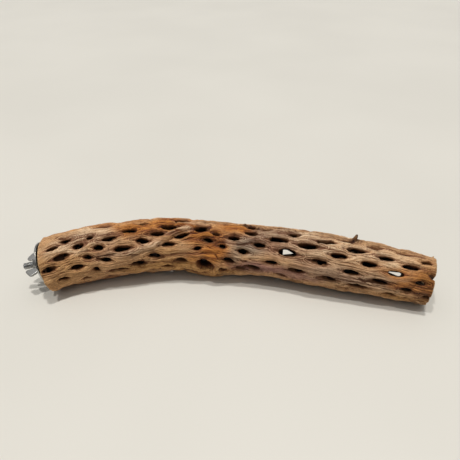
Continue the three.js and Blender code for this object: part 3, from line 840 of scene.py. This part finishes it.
def axis_matrix(distance=0.0):
    """From mm on the axis to metres in the frame, moved out along the axis by a distance."""
    turn = Vector((0, 0, 1)).rotation_difference(STUD_AXIS).to_matrix().to_4x4()
    return Matrix.Translation(SEAT + STUD_AXIS * distance * MM) @ turn @ Matrix.Scale(MM, 4)


def circle(work, height, radius_at, sides):
    """A ring of points round the axis, with its radius by angle."""
    ring = []
    for k in range(sides):
        angle = 2 * math.pi * k / sides
        radius = radius_at(angle)
        ring.append(work.verts.new((radius * math.cos(angle), radius * math.sin(angle), height)))
    return ring


def round_circle(work, height, radius, sides):
    return circle(work, height, lambda angle: radius, sides)


def join_rings(work, rings, sides):
    for low, high in zip(rings, rings[1:]):
        for k in range(sides):
            n = (k + 1) % sides
            work.faces.new([low[k], low[n], high[n], high[k]])


def turned(name, outline, sides, matrix):
    """A turned ring: its section is a closed outline of (radius, height) in mm."""
    work = bmesh.new()
    rings = [round_circle(work, height, radius, sides) for radius, height in outline]
    join_rings(work, rings + rings[:1], sides)
    return finish_piece(name, work, matrix)


def finish_piece(name, work, matrix):
    """Puts a finished shape into the scene, smooth but for its sharp edges."""
    bmesh.ops.recalc_face_normals(work, faces=work.faces)
    work.transform(matrix)
    mesh = bpy.data.meshes.new(name)
    work.to_mesh(mesh)
    work.free()
    shade_smooth(mesh)
    mesh.set_sharp_from_angle(angle=SHARP_EDGE)
    return add_object(name, mesh)


def rounded_ring(inner, outer, bottom, top, bevel, steps=4):
    """A washer's section with rounded corners, as a closed outline."""
    corners = [(outer - bevel, bottom + bevel, -90), (outer - bevel, top - bevel, 0),
               (inner + bevel, top - bevel, 90), (inner + bevel, bottom + bevel, 180)]
    outline = []
    for radius, height, start in corners:
        for step in range(steps + 1):
            angle = math.radians(start + 90 * step / steps)
            outline.append((radius + bevel * math.cos(angle), height + bevel * math.sin(angle)))
    return outline


def thread_radius(angle, height):
    """The stud's radius on a thread with flat crests, chamfered at the tip."""
    phase = (height / THREAD_PITCH - angle / (2 * math.pi)) % 1
    ridge = min(1.0, max(0.0, abs(phase - 0.5) * 5.6 - 0.3))
    chamfered = STUD_RADIUS - STUD_CHAMFER * max(0.0, 1 - (STUD_OUT - height) / STUD_CHAMFER)
    return min(STUD_RADIUS - THREAD_DEPTH * (1 - ridge), chamfered)


def make_stud():
    finish = STUD_OUT - STUD_TRIM
    rows = int((finish - THREAD_START) / THREAD_PITCH * THREAD_ROWS)
    work = bmesh.new()
    inner_end = STUD_POINT_SINK - STUD_IN
    rings = [
        round_circle(work, inner_end, STUD_POINT_RADIUS, STUD_SIDES),
        round_circle(work, inner_end + STUD_POINT_LENGTH, STUD_CORE, STUD_SIDES),
        round_circle(work, THREAD_START - 0.5, STUD_CORE, STUD_SIDES),
    ]
    for height in np.linspace(THREAD_START, finish, rows + 1):
        rings.append(circle(work, height, lambda angle: thread_radius(angle, height), STUD_SIDES))
    join_rings(work, rings, STUD_SIDES)
    work.faces.new(rings[0])
    work.faces.new(rings[-1])
    piece = finish_piece("stud_threaded", work, axis_matrix())
    set_material(piece, steel_material("stud_steel"))
    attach(piece, "root")
    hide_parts("stud")


def make_washers():
    steel = steel_material("washer_steel")
    outer_start = RUNNING_GAP + WASHER_THICKNESS + WIRE_GAP
    washers = (
        ("inner_washer", "root", RUNNING_GAP, INNER_WASHER_RADIUS),
        ("outer_washer", "clamp_washer", outer_start, OUTER_WASHER_RADIUS),
    )
    for name, body, start, rim in washers:
        outline = rounded_ring(HOLE_RADIUS, rim, 0.0, WASHER_THICKNESS, WASHER_BEVEL)
        piece = turned(name + "_turned", outline, WASHER_SIDES, axis_matrix(start))
        set_material(piece, steel)
        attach(piece, body)
        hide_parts(name)


def make_wing_nut():
    """The frame's wing nut with its facets rounded off, as a casting is."""
    work = merged_copy("wing_nut")
    mesh = bpy.data.meshes.new("wing_nut_cast")
    work.to_mesh(mesh)
    work.free()
    piece = add_object("wing_nut_cast", mesh)
    add_soft_remesh(piece, NUT_VOXEL, 0.6, 6)
    apply_modifiers(piece)
    shade_smooth(piece.data)
    set_material(piece, steel_material("nut_steel"))
    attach(piece, "nut")
    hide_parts("wing_nut")


# Each steel's colour, how rough it is, and how fine its wear is.
STEELS = {
    "stud_steel": (0xC4C6C8, 0.16, 260),
    "washer_steel": (0xC8CACC, 0.2, 140),
    "nut_steel": (0xB4B5B6, 0.3, 700),
}
WORN_TONE = 0xCFCBC2
# The end plug's wood: its own brown darkened as painted shade for the hollow end it sits in.
PLUG_WOOD_WITH_SHADE = (0x4A2C16, 0x7A4E2A)


def steel_material(name):
    """Plain steel with cloudy wear."""
    colour, rough, grain = STEELS[name]
    s = Shader(name)
    place = s.node("ShaderNodeNewGeometry", output="Position")
    cloudy = s.noise(place, grain, 3.0, 0.6)
    specks = s.noise(place, grain * 9, 2.0, 0.6)
    worn = s.mix(1.0, rgb(colour), rgb(WORN_TONE), "MULTIPLY")
    base = s.mix(s.ranged(cloudy, 0.3, 0.7), rgb(colour), worn)
    roughness = s.ranged(cloudy, 0.25, 0.75, rough * 0.8, rough * 1.35)
    normal = s.bump(s.math("ADD", cloudy, specks), 0.12, 0.0002)
    return s.finish(Base_Color=base, Roughness=roughness, Normal=normal, Metallic=1.0)


def plug_material():
    s = Shader("plug_wood")
    place = s.node("ShaderNodeNewGeometry", output="Position")
    stretched = s.node("ShaderNodeMapping", {"Vector": place, "Scale": (60.0, 420.0, 420.0)})
    grain = s.noise(stretched, 1.0, 3.0, 0.6)
    # Dark brown wood, darkened as painted shade of the hollow end.
    colour = s.mix(s.ranged(grain, 0.3, 0.7), rgb(PLUG_WOOD_WITH_SHADE[0]), rgb(PLUG_WOOD_WITH_SHADE[1]))
    rough = s.ranged(grain, 0.2, 0.8, 0.6, 0.8)
    return s.finish(Base_Color=colour, Roughness=rough, Normal=s.bump(grain, 0.3, 0.0004))


def dress_plug():
    set_material(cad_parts["end_plug"], plug_material())


# How bright the room, its ceiling and the wall behind are, and the light's colour.
LAMP_COLOUR = (1, 0.985, 0.955)
ROOM_GLOW = 0.12
CEILING_GLOW = 0.6
WALL_GLOW = 0.45

# Far lamps: the way each shines, the width in degrees that it is seen at, and its strength.
LAMPS = {
    "lamp_left": ((0.25, 0.12, -1), 2.5, 0.88),
    "lamp_top": ((-0.02, -0.035, -1), 4.0, 1.4),
}

FLOOR_SIZE = 9
FLOOR_COLOURS = (0xD6D3CB, 0xDAD7CF)


def floor_material():
    s = Shader("floor")
    place = s.node("ShaderNodeNewGeometry", output="Position")
    cloudy = s.noise(place, 3.0, 2.0)
    colour = s.mix(s.ranged(cloudy, 0.3, 0.7), rgb(FLOOR_COLOURS[0]), rgb(FLOOR_COLOURS[1]))
    return s.finish(Base_Color=colour, Roughness=0.45, Specular_IOR_Level=0.25)


def make_floor():
    bpy.ops.mesh.primitive_plane_add(size=FLOOR_SIZE)
    floor = bpy.context.object
    floor.name = "floor"
    floor.data.materials.append(floor_material())


def add_lamp(name, way, softness, strength):
    data = bpy.data.lights.new(name, "SUN")
    data.angle = math.radians(softness)
    data.energy = strength
    data.color = LAMP_COLOUR
    lamp = bpy.data.objects.new(name, data)
    lamp.rotation_euler = Vector(way).to_track_quat("-Z", "Y").to_euler()
    bpy.context.scene.collection.objects.link(lamp)


def make_sky():
    """Soft light from overhead, and from a pale wall behind, over dim surroundings."""
    world = bpy.data.worlds.new("world")
    world.use_nodes = True
    nodes = world.node_tree.nodes
    links = world.node_tree.links
    direction = nodes.new("ShaderNodeTexCoord").outputs["Generated"]
    split = nodes.new("ShaderNodeSeparateXYZ")
    links.new(direction, split.inputs[0])

    def ramp(axis, start, stop, low, high):
        node = nodes.new("ShaderNodeMapRange")
        node.interpolation_type = "SMOOTHSTEP"
        for key, value in zip(("From Min", "From Max", "To Min", "To Max"), (start, stop, low, high)):
            node.inputs[key].default_value = value
        links.new(split.outputs[axis], node.inputs["Value"])
        return node.outputs[0]

    def both(operation, a, b):
        node = nodes.new("ShaderNodeMath")
        node.operation = operation
        links.new(a, node.inputs[0])
        links.new(b, node.inputs[1])
        return node.outputs[0]

    wall = both("MULTIPLY", ramp("Y", 0.3, 0.8, 0.0, 1.0), ramp("Z", 0.25, 0.5, WALL_GLOW, 0.0))
    glow = both("ADD", wall, ramp("Z", 0.45, 0.85, ROOM_GLOW, CEILING_GLOW))
    background = nodes["Background"]
    background.inputs["Color"].default_value = (*LAMP_COLOUR, 1)
    links.new(glow, background.inputs["Strength"])
    bpy.context.scene.world = world


def make_light():
    for name, (way, softness, strength) in LAMPS.items():
        add_lamp(name, way, softness, strength)
    make_sky()
    bpy.context.scene.view_settings.view_transform = "Standard"


make_camera()
make_floor()
make_light()
make_wood()
dress_plug()
make_stud()
make_washers()
make_wing_nut()
